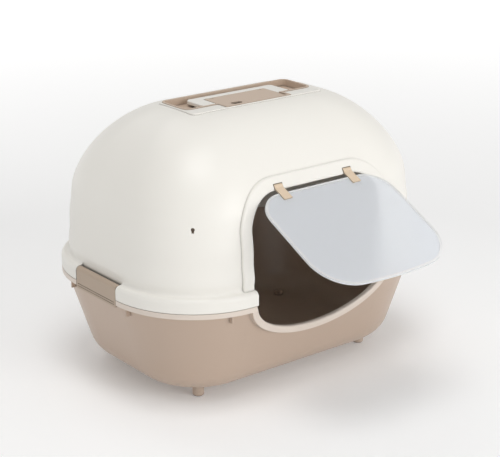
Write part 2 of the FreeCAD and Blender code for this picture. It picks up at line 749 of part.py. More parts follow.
def flap_sheet_solid(name, inset, thick):
    """The flap's sheet: a straight top, upright sides, round corners and a bowed lower edge."""
    half = f"(door_width / 2 - flap_side_gap - ({inset}))"
    length = f"({FLAP_LENGTH} - ({inset}))"
    across = (f"-({thick}) / 2", f"({thick}) / 2")
    plain = block(name + "_plain", (f"-{half}", half), across, (f"-{length}", f"-(flap_top_gap + ({inset}))"))
    bow_radius = f"(({half} ^ 2 + flap_bottom_bow ^ 2) / (2 * flap_bottom_bow))"
    bow = rod(name + "_bow", f"2 * {bow_radius}", thick, "y", "0", across[0], f"{bow_radius} - {length}")
    bowed = overlap(name + "_bowed", plain, bow)
    middle = -worth(FLAP_LENGTH) / 2
    upper = rounded(name + "_upper", bowed, f"flap_top_corner - ({inset})",
                    lambda edge: runs_along(edge, "Y") and edge.BoundBox.ZMin > middle)
    return rounded(name, upper, f"flap_bottom_corner - ({inset})",
                   lambda edge: runs_along(edge, "Y") and edge.BoundBox.ZMax < middle)


def clip_middles():
    return (("left", "-1 * clip_spacing / 2"), ("right", "clip_spacing / 2"))


def make_flap_panel():
    """A thin sheet with a thicker edge all round, holes for the clips' pegs and flat lands for the clips."""
    sheet_solid = flap_sheet_solid("flap_sheet_body", "0", "flap_sheet")
    edge_thick = "flap_sheet + 2 * flap_edge_rise"
    edge = cut("flap_edge", flap_sheet_solid("flap_edge_outer", "0", edge_thick),
               flap_sheet_solid("flap_edge_inner", "flap_edge_width", edge_thick))
    removals = []
    for side, middle in clip_middles():
        half = "clip_width / 2 + seat_gap"
        removals.append(block(f"clip_land_{side}", (f"{middle} - ({half})", f"{middle} + ({half})"),
                              ("-flap_sheet - flap_edge_rise", "-flap_sheet / 2"),
                              ("-flap_top_gap - 2 * flap_edge_width", "0")))
        removals.append(rod(f"peg_hole_{side}", "peg_diameter + 2 * running_gap", "2 * flap_sheet", "y",
                            middle, "-flap_sheet", f"-{PEG_DROP}"))
    return swing_open(cut("flap_panel", join("flap_whole", sheet_solid, edge), *removals))


def make_flap_clip(side, middle):
    """A hook that turns on the hood's bar, with a tongue pegged to the flap's outer face."""
    left_end = f"{middle} - clip_width / 2"
    span = (left_end, f"{middle} + clip_width / 2")
    outer = f"({CLIP_DIAMETER} / 2)"
    hook = rod(f"clip_hook_{side}", CLIP_DIAMETER, "clip_width", "x", left_end)
    tongue = block(f"clip_tongue_{side}", span, ("-flap_sheet / 2 - clip_wall", "-flap_sheet / 2"),
                   ("-clip_length", "0"))
    peg = rod(f"clip_peg_{side}", "peg_diameter", "flap_sheet", "y", middle, "-flap_sheet / 2",
              f"-{PEG_DROP}")
    head = rod(f"clip_head_{side}", "peg_head_diameter", "clip_wall / 2", "y", middle, "flap_sheet / 2",
               f"-{PEG_DROP}")
    bar = rod(f"clip_bore_{side}", "hinge_bar_diameter + 2 * running_gap", "clip_width", "x", left_end)
    mouth = block(f"clip_mouth_{side}", span, ("0", outer), (f"-{outer}", "-running_gap"))
    whole = join(f"clip_whole_{side}", hook, tongue, peg, head)
    return swing_open(cut(f"flap_clip_{side}", whole, bar, mouth))


# The tray in the top, the handle, the filter and the lid


def make_top_tray():
    """A shallow insert with a deeper well for the filter, ears for both hinges and snaps under the hood."""
    recess_block = block("tray_recess_out", ("-tray_width / 2 - tray_wall", "tray_width / 2 + tray_wall"),
                         ("-tray_front - tray_wall", "tray_back + tray_wall"),
                         (f"{TRAY_FLOOR} - tray_wall", TRAY_TOP))
    recess = rounded("tray_recess", recess_block, "tray_corner + tray_wall",
                     lambda edge: runs_along(edge, "Z"))
    well = block("tray_well_out", (f"-{WELL_GAP} - tray_wall", f"{WELL_GAP} + tray_wall"),
                 (f"-{WELL_FRONT} - tray_wall", "lid_back + tray_wall"),
                 (f"{WELL_FLOOR} - tray_wall", TRAY_TOP))
    rim = tray_plan("tray_rim", "tray_wall + tray_lip", TRAY_TOP, f"{TRAY_TOP} + tray_lip_thick")
    hollow_top = f"{TRAY_TOP} + tray_lip_thick"
    recess_space = block("tray_recess_in", ("-tray_width / 2", "tray_width / 2"),
                         ("-tray_front", "tray_back"), (TRAY_FLOOR, hollow_top))
    recess_in = rounded("tray_recess_space", recess_space, "tray_corner", lambda edge: runs_along(edge, "Z"))
    well_in = block("tray_well_in", (f"-{WELL_GAP}", WELL_GAP), (f"-{WELL_FRONT}", "lid_back"),
                    (WELL_FLOOR, hollow_top))
    slots = side_pair("tray_slot", ("tray_width / 2 - 9 * tray_wall", "tray_width / 2 - 7 * tray_wall"),
                      ("tray_back / 4", "tray_back / 2"), (f"{TRAY_FLOOR} - 2 * tray_wall", TRAY_FLOOR))
    vents = []
    vent_reach = "lid_width / 2 - 3 * filter_margin"
    for count in (-2, -1, 0, 1, 2):
        middle = f"(lid_back - lid_front) / 2 + {count} * vent_pitch"
        vents.append(block(f"vent_{count + 3}", (f"-({vent_reach})", vent_reach),
                           (f"{middle} - vent_width / 2", f"{middle} + vent_width / 2"),
                           (f"{WELL_FLOOR} - 2 * tray_wall", WELL_FLOOR)))
    shell = cut("tray_shell", join("tray_solid", recess, well, rim), recess_in, well_in, *slots, *vents)
    ledge = f"{LID_TOP} - lid_thick - lid_seat_gap"
    extras = [block("lid_ledge", (f"-{WELL_GAP}", WELL_GAP), (f"-{WELL_FRONT}", f"-{WELL_FRONT} + tray_wall"),
                    (f"{ledge} - 2 * tray_wall", ledge))]
    ear_y = (f"{HANDLE_AXIS_Y} - handle_pivot_inset + handle_front_gap / 2",
             f"{HANDLE_AXIS_Y} + handle_pivot_inset - handle_front_gap / 2")
    ear_x = (f"{LEG_OUTSIDE} + handle_side_gap", f"{LEG_OUTSIDE} + handle_side_gap + ear_width")
    extras += side_pair("handle_ear", ear_x, ear_y, (TRAY_FLOOR, HANDLE_TOP))
    knuckle = "lid_knuckle_diameter / 2"
    lid_ear_x = ("lid_ear_offset", "lid_ear_offset + lid_ear_width")
    extras += side_pair("lid_ear_post", lid_ear_x, (f"{LID_AXIS_Y} - {knuckle}", f"{LID_AXIS_Y} + {knuckle}"),
                        (WELL_FLOOR, LID_AXIS_Z))
    for side, start in (("left", "-lid_ear_offset - lid_ear_width"), ("right", "lid_ear_offset")):
        extras.append(rod(f"lid_ear_round_{side}", "lid_knuckle_diameter", "lid_ear_width", "x", start,
                          LID_AXIS_Y, LID_AXIS_Z))
    barb_top = "hood_height - plastic_wall - lid_seat_gap"
    for word, y in (("back", ("tray_back + tray_wall", "tray_back + tray_wall + barb_reach")),
                    ("front", (f"-{WELL_FRONT} - tray_wall - barb_reach", f"-{WELL_FRONT} - tray_wall"))):
        extras += side_pair(f"barb_{word}", ("lid_width / 4", "lid_width / 4 + barb_length"), y,
                            (f"{barb_top} - 2 * barb_reach", barb_top))
    whole = join("tray_whole", shell, *extras)
    handle_bore = rod("handle_ear_bore", "handle_pin_diameter + 2 * running_gap", "tray_width", "x",
                      "-tray_width / 2", HANDLE_AXIS_Y, HANDLE_AXIS_Z)
    lid_bore = rod("lid_ear_bore", "lid_pin_diameter + 2 * running_gap", "lid_width", "x",
                   "-lid_width / 2", LID_AXIS_Y, LID_AXIS_Z)
    return cut("top_tray", whole, handle_bore, lid_bore)


def make_carry_handle():
    """A flat bail: two wide legs and a grip across the back, soft on every edge."""
    grip_front = "lid_back + lid_grip_gap"
    grip_back = f"{grip_front} + handle_grip_depth"
    level = (f"{HANDLE_TOP} - handle_thick", HANDLE_TOP)
    legs = side_pair("handle_leg", (LEG_INSIDE, LEG_OUTSIDE),
                     ("handle_front_gap - tray_front", grip_back), level)
    grip = block("handle_grip", (f"-{LEG_OUTSIDE}", LEG_OUTSIDE), (grip_front, grip_back), level)
    bail = join("handle_bail", grip, *legs)
    outer = worth(LEG_OUTSIDE)
    corners = rounded("handle_corners", bail, "handle_corner",
                      lambda edge: runs_along(edge, "Z") and abs(abs(edge.BoundBox.XMin) - outer) < NEAR
                      and edge.BoundBox.YMin > 0)
    levels = (worth(level[0]), worth(level[1]))
    soft = rounded("handle_soft", corners, "handle_edge",
                   lambda edge: lies_at(edge, "Z", levels[0]) or lies_at(edge, "Z", levels[1]))
    bore_depth = "(handle_pin_seat + running_gap)"
    bores = [
        rod(f"handle_bore_{side}", "handle_pin_diameter + 2 * running_gap", bore_depth, "x",
            start, HANDLE_AXIS_Y, HANDLE_AXIS_Z)
        for side, start in (("left", f"-{LEG_OUTSIDE}"), ("right", f"{LEG_OUTSIDE} - {bore_depth}"))
    ]
    return cut("carry_handle", soft, *bores)


def make_handle_pin(side):
    length = "handle_pin_seat + handle_side_gap + ear_width"
    left_start = f"-{LEG_OUTSIDE} - handle_side_gap - ear_width"
    start = f"{LEG_OUTSIDE} - handle_pin_seat" if side == "right" else left_start
    return rod("handle_pin_" + side, "handle_pin_diameter", length, "x", start, HANDLE_AXIS_Y, HANDLE_AXIS_Z)


def make_filter_lid():
    """A flat lid with a finger slot, knuckles at its back edge and gaps for the tray's ears."""
    plate = block("lid_plate", ("-lid_width / 2", "lid_width / 2"), ("-lid_front", "lid_back"),
                  (f"{LID_TOP} - lid_thick", LID_TOP))
    cornered = rounded("lid_cornered", plate, "lid_corner", lambda edge: runs_along(edge, "Z"))
    top = worth(LID_TOP)
    soft = rounded("lid_soft", cornered, "lid_edge", lambda edge: lies_at(edge, "Z", top))
    inner = "lid_ear_offset - seat_gap"
    knuckles = [
        rod(f"lid_knuckle_{side}", "lid_knuckle_diameter", "lid_knuckle_width", "x", start,
            LID_AXIS_Y, LID_AXIS_Z)
        for side, start in (("left", f"-({inner})"), ("right", f"{inner} - lid_knuckle_width"))
    ]
    gaps = side_pair("lid_gap", (inner, "lid_ear_offset + lid_ear_width + seat_gap"),
                     (f"{LID_AXIS_Y} - lid_knuckle_diameter / 2 - seat_gap", "lid_back + seat_gap"),
                     (f"{LID_TOP} - lid_thick", LID_TOP))
    bore = rod("lid_bore", "lid_pin_diameter + 2 * running_gap", "lid_width", "x", "-lid_width / 2",
               LID_AXIS_Y, LID_AXIS_Z)
    straight = "(finger_slot_length - finger_slot_width) / 2"
    slot_y = ("-finger_slot_y - finger_slot_width / 2", "finger_slot_width / 2 - finger_slot_y")
    slot_z = (f"{LID_TOP} - lid_thick", LID_TOP)
    slot_x = (f"-finger_slot_x - {straight}", f"{straight} - finger_slot_x")
    slot = [block("finger_slot_middle", slot_x, slot_y, slot_z)]
    for side, sign in (("left", "-1"), ("right", "1")):
        slot.append(rod(f"finger_slot_{side}", "finger_slot_width", "lid_thick", "z",
                        f"{sign} * {straight} - finger_slot_x", "-finger_slot_y", slot_z[0]))
    return cut("filter_lid", join("lid_whole", soft, *knuckles), bore, *gaps, *slot)


def make_lid_pin():
    half = "(lid_ear_offset + lid_ear_width)"
    return rod("lid_pin", "lid_pin_diameter", f"2 * {half}", "x", f"-{half}", LID_AXIS_Y, LID_AXIS_Z)


def make_carbon_filter():
    """A thick soft pad that lies on the floor of the well."""
    half = "lid_width / 2 - filter_margin"
    pad = block("filter_pad", (f"-({half})", half),
                (f"-{WELL_FRONT} + filter_margin", f"{LID_AXIS_Y} - lid_knuckle_diameter"),
                (WELL_FLOOR, f"{WELL_FLOOR} + filter_thick"))
    return rounded("carbon_filter", pad, "lid_corner / 2", lambda edge: runs_along(edge, "Z"))


# Every piece, and the files

PIECES = [make_base_tray(), make_hood_shell(), make_top_tray(), make_carry_handle(), make_filter_lid()]
PIECES += [make_foot(where, x, y) for where, x, y in corner_places("foot_spread_x", "foot_spread_y")]
PIECES += [make_flap_panel(), make_lid_pin(), make_carbon_filter()]
PIECES += [make_flap_clip(side, middle) for side, middle in clip_middles()]
for hand, direction in (("left", "-1"), ("right", "1")):
    PIECES += [make_latch(hand), make_latch_pin(hand, direction), make_handle_pin(hand)]
doc.recompute()

for item in doc.Objects:
    if "Invalid" in item.State or "Error" in item.State:
        raise RuntimeError(f"{item.Name} did not build: {item.State}")
os.makedirs("parts", exist_ok=True)
for piece in PIECES:
    shape = piece.Shape
    if shape.isNull() or not shape.isValid() or len(shape.Solids) != 1:
        raise RuntimeError(f"{piece.Label} is not one sound solid: {len(shape.Solids)} solids")
    shape.Solids[0].exportStep(f"parts/{piece.Label}.step")
    low, high = shape.BoundBox, shape.BoundBox
    print(f"{piece.Label}: {shape.Volume / 1000:.1f} cm3, x {low.XMin:.1f} to {high.XMax:.1f},"
          f" y {low.YMin:.1f} to {high.YMax:.1f}, z {low.ZMin:.1f} to {high.ZMax:.1f}")
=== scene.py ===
# %% [markdown]
# A covered litter box: a beige tub on four feet, a white hood with a frosted flap, two side latches, and
# a beige tray in the top that holds a carry handle and a lidded filter. The engineered solids already
# have the right shape and place, so this lesson dresses them: it gives every surface its plastic,
# replaces the one soft piece, and sets up a plain studio with the camera where the picture was taken.

# %% Load the engineered model
import json
import math
import bpy
import bmesh
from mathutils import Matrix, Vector, noise


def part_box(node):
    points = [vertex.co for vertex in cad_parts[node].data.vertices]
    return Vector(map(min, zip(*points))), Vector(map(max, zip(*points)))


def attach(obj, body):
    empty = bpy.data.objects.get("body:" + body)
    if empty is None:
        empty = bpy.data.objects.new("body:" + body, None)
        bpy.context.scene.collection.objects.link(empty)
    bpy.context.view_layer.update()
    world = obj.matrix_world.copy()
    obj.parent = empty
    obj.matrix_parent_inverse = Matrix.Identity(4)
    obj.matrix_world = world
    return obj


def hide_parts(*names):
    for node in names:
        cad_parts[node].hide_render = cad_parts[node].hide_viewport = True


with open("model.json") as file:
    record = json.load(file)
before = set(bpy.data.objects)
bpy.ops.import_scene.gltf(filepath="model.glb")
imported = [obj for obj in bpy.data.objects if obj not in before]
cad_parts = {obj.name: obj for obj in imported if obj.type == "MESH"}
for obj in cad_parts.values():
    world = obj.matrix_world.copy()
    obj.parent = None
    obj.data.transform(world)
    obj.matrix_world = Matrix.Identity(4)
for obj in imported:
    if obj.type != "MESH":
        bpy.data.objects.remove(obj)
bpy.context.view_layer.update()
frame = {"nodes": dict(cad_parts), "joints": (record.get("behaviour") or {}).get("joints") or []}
nodes = frame["nodes"]
MM = 0.001

# %% [markdown]
# The picture was taken with a long lens from the front left, a little above the box. A long lens keeps
# the walls nearly parallel, so the camera stands well back. It looks at a point inside the box: moving
# that point shifts the whole box in the picture without changing its perspective.

# %% Camera
VIEW_AZIMUTH = math.radians(-38)
VIEW_ELEVATION = math.radians(19)
VIEW_DISTANCE = 2.6
VIEW_LENS = 104.4
BOX_MIDDLE = Vector((0, 0, 0.23))
AIM_POINT = Vector((0.0127, -0.0099, 0.23))


def direction_from(azimuth, elevation):
    """The way from the box to something seen at an azimuth, where nought is the front, and an elevation."""
    level = math.cos(elevation)
    return Vector((math.sin(azimuth) * level, -math.cos(azimuth) * level, math.sin(elevation)))


def look_at(thing, target):
    thing.rotation_euler = (target - thing.location).to_track_quat("-Z", "Y").to_euler()


camera = bpy.data.objects.new("camera", bpy.data.cameras.new("camera"))
bpy.context.scene.collection.objects.link(camera)
camera.data.lens = VIEW_LENS
camera.location = BOX_MIDDLE + direction_from(VIEW_AZIMUTH, VIEW_ELEVATION) * VIEW_DISTANCE
look_at(camera, AIM_POINT)
bpy.context.scene.camera = camera
print("camera at", [round(value, 3) for value in camera.location])

# %% [markdown]
# Small helpers keep the shader code short. A node tree is a list of nodes and of links between their
# sockets, so one helper adds a node with its settings and another joins sockets.

# %% Shader helpers


def add_node(tree, kind, **settings):
    """Adds a shader node. Settings named after an input set that input, and others set the node itself."""
    node = tree.nodes.new(kind)
    for name, setting in settings.items():
        label = name.replace("_", " ").title()
        if label in node.inputs:
            node.inputs[label].default_value = setting
        else:
            setattr(node, name, setting)
    return node


def new_group(name, inputs, outputs):
    """A node group with named sockets: each input is (name, kind, starting value)."""
    tree = bpy.data.node_groups.new(name, "ShaderNodeTree")
    for label, kind, start in inputs:
        socket = tree.interface.new_socket(label, in_out="INPUT", socket_type=kind)
        socket.default_value = start
    for label, kind in outputs:
        tree.interface.new_socket(label, in_out="OUTPUT", socket_type=kind)
    return tree, tree.nodes.new("NodeGroupInput"), tree.nodes.new("NodeGroupOutput")


def mix_colours(tree, factor, first, second):
    """Mixes two colours by a factor socket. Each colour is a socket or three numbers.

    A Mix node keeps one set of inputs for each kind of data, so its sockets are picked by name and kind.
    """
    mix = add_node(tree, "ShaderNodeMix", data_type="RGBA")
    by_kind = {(socket.name, socket.type): socket for socket in mix.inputs}
    tree.links.new(factor, by_kind["Factor", "VALUE"])
    for label, colour in (("A", first), ("B", second)):
        if isinstance(colour, tuple):
            by_kind[label, "RGBA"].default_value = (*colour, 1)
        else:
            tree.links.new(colour, by_kind[label, "RGBA"])
    return next(socket for socket in mix.outputs if socket.type == "RGBA")


FLOAT, COLOUR = "NodeSocketFloat", "NodeSocketColor"
print("socket kinds:", FLOAT, COLOUR)

# %% [markdown]
# Injection-moulded plastic is never quite even. Melt flows leave faint clouds of tone, the steel mould is
# spark-eroded, which leaves a fine grain, and the grain makes the gloss vary a little. All the plastics
# of this box share that, so it is one node group with the two tones, the grain size and the gloss as
# inputs.

# %% Node group: moulded finish


def make_moulded_finish():
    tree, start, end = new_group(
        "moulded_finish",
        [("Light Tone", COLOUR, (0.8, 0.8, 0.8, 1)), ("Dark Tone", COLOUR, (0.7, 0.7, 0.7, 1)),
         ("Cloud Scale", FLOAT, 6.0), ("Grain Scale", FLOAT, 900.0),
         ("Gloss Low", FLOAT, 0.35), ("Gloss High", FLOAT, 0.45)],
        [("Colour", COLOUR), ("Roughness", FLOAT), ("Grain", FLOAT)],
    )
    place = add_node(tree, "ShaderNodeTexCoord")
    clouds = add_node(tree, "ShaderNodeTexNoise", detail=3.0)
    grain = add_node(tree, "ShaderNodeTexNoise", detail=2.0, roughness=0.6)
    gloss = add_node(tree, "ShaderNodeMapRange")
    join = tree.links.new
    join(place.outputs["Object"], clouds.inputs["Vector"])
    join(place.outputs["Object"], grain.inputs["Vector"])
    join(start.outputs["Cloud Scale"], clouds.inputs["Scale"])
    join(start.outputs["Grain Scale"], grain.inputs["Scale"])
    tone = mix_colours(tree, clouds.outputs["Fac"], start.outputs["Light Tone"], start.outputs["Dark Tone"])
    join(grain.outputs["Fac"], gloss.inputs["Value"])
    join(start.outputs["Gloss Low"], gloss.inputs["To Min"])
    join(start.outputs["Gloss High"], gloss.inputs["To Max"])
    join(tone, end.inputs["Colour"])
    join(gloss.outputs["Result"], end.inputs["Roughness"])
    join(grain.outputs["Fac"], end.inputs["Grain"])
    return tree


moulded_finish = make_moulded_finish()
print("group:", moulded_finish.name)

# %% [markdown]
# Hands, litter and floors leave marks. Fine hairline scuffs run in all directions and show mostly as a
# change of gloss, and a little dust greys whatever is near the floor. Stretching a noise along one axis
# turns its blobs into hairlines, and a narrow band of its values keeps only a few of them.

# %% Node group: handling marks


def make_handling_marks():
    tree, start, end = new_group(
        "handling_marks",
        [("Colour", COLOUR, (0.8, 0.8, 0.8, 1)), ("Dust Colour", COLOUR, (0.6, 0.57, 0.52, 1)),
         ("Roughness", FLOAT, 0.4), ("Scuff Amount", FLOAT, 0.1), ("Dust Amount", FLOAT, 0.2),
         ("Dust Height", FLOAT, 0.06)],
        [("Colour", COLOUR), ("Roughness", FLOAT)],
    )
    join = tree.links.new
    place = add_node(tree, "ShaderNodeTexCoord")
    stretch = add_node(tree, "ShaderNodeMapping", scale=(40, 420, 260), rotation=(0.4, 0.3, 0.7))
    hairs = add_node(tree, "ShaderNodeTexNoise", scale=1.0, detail=1.0)
    few = add_node(tree, "ShaderNodeMapRange", from_min=0.66, from_max=0.72)
    scuffed = add_node(tree, "ShaderNodeMath", operation="MULTIPLY_ADD")
    join(place.outputs["Object"], stretch.inputs["Vector"])
    join(stretch.outputs["Vector"], hairs.inputs["Vector"])
    join(hairs.outputs["Fac"], few.inputs["Value"])
    join(few.outputs["Result"], scuffed.inputs[0])
    join(start.outputs["Scuff Amount"], scuffed.inputs[1])
    join(start.outputs["Roughness"], scuffed.inputs[2])
    height = add_node(tree, "ShaderNodeSeparateXYZ")
    fade = add_node(tree, "ShaderNodeMapRange", to_min=1.0, to_max=0.0)
    patches = add_node(tree, "ShaderNodeTexNoise", scale=30.0, detail=4.0)
    patchy = add_node(tree, "ShaderNodeMath", operation="MULTIPLY")
    dusty = add_node(tree, "ShaderNodeMath", operation="MULTIPLY")
    join(place.outputs["Object"], height.inputs["Vector"])
    join(height.outputs["Z"], fade.inputs["Value"])
    join(start.outputs["Dust Height"], fade.inputs["From Max"])
    join(place.outputs["Object"], patches.inputs["Vector"])
    join(fade.outputs["Result"], patchy.inputs[0])
    join(patches.outputs["Fac"], patchy.inputs[1])
    join(patchy.outputs["Value"], dusty.inputs[0])
    join(start.outputs["Dust Amount"], dusty.inputs[1])
    soiled = mix_colours(tree, dusty.outputs["Value"], start.outputs["Colour"], start.outputs["Dust Colour"])
    join(soiled, end.inputs["Colour"])
    join(scuffed.outputs["Value"], end.inputs["Roughness"])
    return tree


handling_marks = make_handling_marks()
print("group:", handling_marks.name)

# %% [markdown]
# Every hard plastic here is the same recipe with other numbers: the moulded finish gives tone and grain,
# the marks soil it, and the shader adds gloss. Real moulded edges are rounded by half a millimetre or so.
# The solids leave the small ones sharp, so a Bevel node rounds the shading there, and the grain is
# pressed in on top of it. Narrow seams get painted shade: whatever an Ambient Occlusion node finds shut in
# within a few millimetres is darker.

# %% Hard plastics


EDGE_ROUND = 0.7 * MM
CREVICE_REACH = 5 * MM
CREVICE_SHUT, CREVICE_OPEN = 0.3, 0.85
SEAM_SHADE_SHARE = 0.4
GRAIN_DEPTH = 0.2 * MM


def hard_plastic(name, light_tone, dark_tone, gloss):
    material = bpy.data.materials.new(name)
    material.use_nodes = True
    tree = material.node_tree
    shader = tree.nodes["Principled BSDF"]
    finish = add_node(tree, "ShaderNodeGroup", node_tree=moulded_finish)
    finish.inputs["Light Tone"].default_value = (*light_tone, 1)
    finish.inputs["Dark Tone"].default_value = (*dark_tone, 1)
    finish.inputs["Gloss Low"].default_value = gloss[0]
    finish.inputs["Gloss High"].default_value = gloss[1]
    marks = add_node(tree, "ShaderNodeGroup", node_tree=handling_marks)
    round_edge = add_node(tree, "ShaderNodeBevel", samples=4, radius=EDGE_ROUND)
    grain = add_node(tree, "ShaderNodeBump", strength=0.12, distance=GRAIN_DEPTH)
    join = tree.links.new
    join(finish.outputs["Colour"], marks.inputs["Colour"])
    join(finish.outputs["Roughness"], marks.inputs["Roughness"])
    # Painted shade: seams and crevices that the Ambient Occlusion node finds shut in are darkened in the
    # colour.
    crevice = add_node(tree, "ShaderNodeAmbientOcclusion", samples=6, distance=CREVICE_REACH)
    open_air = add_node(tree, "ShaderNodeMapRange", from_min=CREVICE_SHUT, from_max=CREVICE_OPEN)
    seam_shade_tone = tuple(SEAM_SHADE_SHARE * value for value in dark_tone)
    join(crevice.outputs["AO"], open_air.inputs["Value"])
    shaded = mix_colours(tree, open_air.outputs["Result"], seam_shade_tone, marks.outputs["Colour"])
    join(shaded, shader.inputs["Base Color"])
    join(marks.outputs["Roughness"], shader.inputs["Roughness"])
    join(finish.outputs["Grain"], grain.inputs["Height"])
    join(round_edge.outputs["Normal"], grain.inputs["Normal"])
    join(grain.outputs["Normal"], shader.inputs["Normal"])
    return material


def dress(material, *names):
    """Puts a material on whole nodes."""
    for name in names:
        slots = nodes[name].data.materials
        slots.clear()
        slots.append(material)
    print(material.name, "on", ", ".join(names))


white_plastic = hard_plastic("white_hood_plastic", (0.855, 0.835, 0.785), (0.825, 0.802, 0.75), (0.34, 0.44))
tub_beige = hard_plastic("tub_beige_plastic", (0.50, 0.38, 0.295), (0.47, 0.355, 0.275), (0.30, 0.38))
latch_beige = hard_plastic("latch_beige_plastic", (0.47, 0.37, 0.285), (0.44, 0.345, 0.265), (0.38, 0.48))
# The tray and lid beige is lighter than the latch beige. Part of that is the tray's own tone, and part is
# painted light that lifts the shade in the tray's recess.
tray_beige = hard_plastic("tray_beige_plastic", (0.60, 0.475, 0.375), (0.57, 0.45, 0.355), (0.36, 0.46))
clip_beige = hard_plastic("clip_beige_plastic", (0.72, 0.58, 0.43), (0.69, 0.55, 0.405), (0.36, 0.46))
pin_plastic = hard_plastic("pin_grey_plastic", (0.55, 0.53, 0.50), (0.50, 0.48, 0.45), (0.25, 0.32))
dress(white_plastic, "hood_shell", "carry_handle")
dress(tub_beige, "base_tray", "foot_front_left", "foot_front_right", "foot_back_left", "foot_back_right")
dress(latch_beige, "latch_left", "latch_right")
dress(tray_beige, "top_tray", "filter_lid")
dress(clip_beige, "flap_clip_left", "flap_clip_right")
dress(pin_plastic, "latch_pin_left", "latch_pin_right", "handle_pin_left", "handle_pin_right", "lid_pin")

# %% [markdown]
# On the real tub the rim bead, and the band that follows the oval entrance notch, look paler than the
# walls, because they catch more light. That paler tone is painted light: a painted highlight mixed into
# the colour. Thin plastic that lets light through would look so, though the picture alone can't show the
# cause. Both can be told from the place of a point alone: the bead is all that lies above a height, and the
# band is all that lies inside a slightly larger oval at the front. A mask made from the place needs no
# texture painting.

# %% Painted highlight on the tub's rim
RIM_FOOT = 178 * MM
NOTCH_LEVEL = 193 * MM
NOTCH_HALF = (142 * MM, 75 * MM)
BAND_WIDTH = 13 * MM
FRONT_LIMIT = -0.15
TUB_SPECULAR = 0.85


def paint_rim_highlight(material, highlight_tone, amount):
    tree = material.node_tree
    join = tree.links.new
    shader = tree.nodes["Principled BSDF"]
    painted = shader.inputs["Base Color"].links[0].from_socket
    place = add_node(tree, "ShaderNodeTexCoord")
    apart = add_node(tree, "ShaderNodeSeparateXYZ")
    join(place.outputs["Object"], apart.inputs["Vector"])
    bead = add_node(tree, "ShaderNodeMapRange", from_min=RIM_FOOT - MM, from_max=RIM_FOOT + MM, to_max=amount)
    join(apart.outputs["Z"], bead.inputs["Value"])
    half_width, half_height = (half + BAND_WIDTH for half in NOTCH_HALF)
    to_oval = add_node(tree, "ShaderNodeMapping", vector_type="POINT")
    to_oval.inputs["Location"].default_value = (0, 0, -NOTCH_LEVEL / half_height)
    to_oval.inputs["Scale"].default_value = (1 / half_width, 0, 1 / half_height)
    from_middle = add_node(tree, "ShaderNodeVectorMath", operation="LENGTH")
    join(place.outputs["Object"], to_oval.inputs["Vector"])
    join(to_oval.outputs["Vector"], from_middle.inputs[0])
    in_oval = add_node(tree, "ShaderNodeMapRange", from_min=1.01, from_max=0.99, to_max=amount)
    join(from_middle.outputs["Value"], in_oval.inputs["Value"])
    front = add_node(tree, "ShaderNodeMath", operation="LESS_THAN")
    front.inputs[1].default_value = FRONT_LIMIT
    join(apart.outputs["Y"], front.inputs[0])
    band = add_node(tree, "ShaderNodeMath", operation="MULTIPLY")
    join(in_oval.outputs["Result"], band.inputs[0])
    join(front.outputs["Value"], band.inputs[1])
    either = add_node(tree, "ShaderNodeMath", operation="MAXIMUM")
    join(bead.outputs["Result"], either.inputs[0])
    join(band.outputs["Value"], either.inputs[1])
    join(mix_colours(tree, either.outputs["Value"], painted, highlight_tone), shader.inputs["Base Color"])


# Painted highlight: the rim bead and the notch band are mixed towards a lighter tone.
paint_rim_highlight(tub_beige, (0.74, 0.655, 0.58), 0.85)
tub_beige.node_tree.nodes["Principled BSDF"].inputs["Specular IOR Level"].default_value = TUB_SPECULAR
print("pale rim above", RIM_FOOT, "m and along the notch")

# %% [markdown]
# The flap is a thin frosted sheet: light passes through it but is scattered, so what lies behind shows
# only as soft darker or lighter tones. Its thicker edge is the same plastic, but more of it, so it looks
# whiter. The edge stands out of the sheet on both faces, so the distance from the flap's middle plane
# tells the two apart.

# %% Frosted flap
hinge = next(joint for joint in frame["joints"] if joint["name"] == "flap_swing")
HINGE_POINT = Vector(hinge["pos_m"])
FLAP_ANGLE = math.radians(63.5)
SHEET_HALF = 1.0 * MM
EDGE_HALF = 2.0 * MM
FROST_PIT = 0.15 * MM


def frosted_plastic(name, sheet_colour, edge_colour):
    material = bpy.data.materials.new(name)
    material.use_nodes = True
    tree = material.node_tree
    join = tree.links.new
    shader = tree.nodes["Principled BSDF"]
    shader.inputs["Transmission Weight"].default_value = 0.48
    shader.inputs["IOR"].default_value = 1.3
    place = add_node(tree, "ShaderNodeTexCoord")
    from_hinge = add_node(tree, "ShaderNodeVectorMath", operation="SUBTRACT")
    from_hinge.inputs[1].default_value = HINGE_POINT
    out_of_sheet = add_node(tree, "ShaderNodeVectorMath", operation="DOT_PRODUCT")
    out_of_sheet.inputs[1].default_value = (0, math.cos(FLAP_ANGLE), -math.sin(FLAP_ANGLE))
    off_plane = add_node(tree, "ShaderNodeMath", operation="ABSOLUTE")
    on_edge = add_node(tree, "ShaderNodeMapRange", from_min=1.1 * SHEET_HALF, from_max=0.8 * EDGE_HALF)
    frost = add_node(tree, "ShaderNodeTexNoise", scale=700.0, detail=3.0)
    blur = add_node(tree, "ShaderNodeMapRange", to_min=0.27, to_max=0.33)
    pits = add_node(tree, "ShaderNodeBump", strength=0.03, distance=FROST_PIT)
    join(place.outputs["Object"], from_hinge.inputs[0])
    join(from_hinge.outputs["Vector"], out_of_sheet.inputs[0])
    join(out_of_sheet.outputs["Value"], off_plane.inputs[0])
    join(off_plane.outputs["Value"], on_edge.inputs["Value"])
    tone = mix_colours(tree, on_edge.outputs["Result"], sheet_colour, edge_colour)
    join(tone, shader.inputs["Base Color"])
    join(place.outputs["Object"], frost.inputs["Vector"])
    join(frost.outputs["Fac"], blur.inputs["Value"])
    join(blur.outputs["Result"], shader.inputs["Roughness"])
    join(frost.outputs["Fac"], pits.inputs["Height"])
    join(pits.outputs["Normal"], shader.inputs["Normal"])
    return material


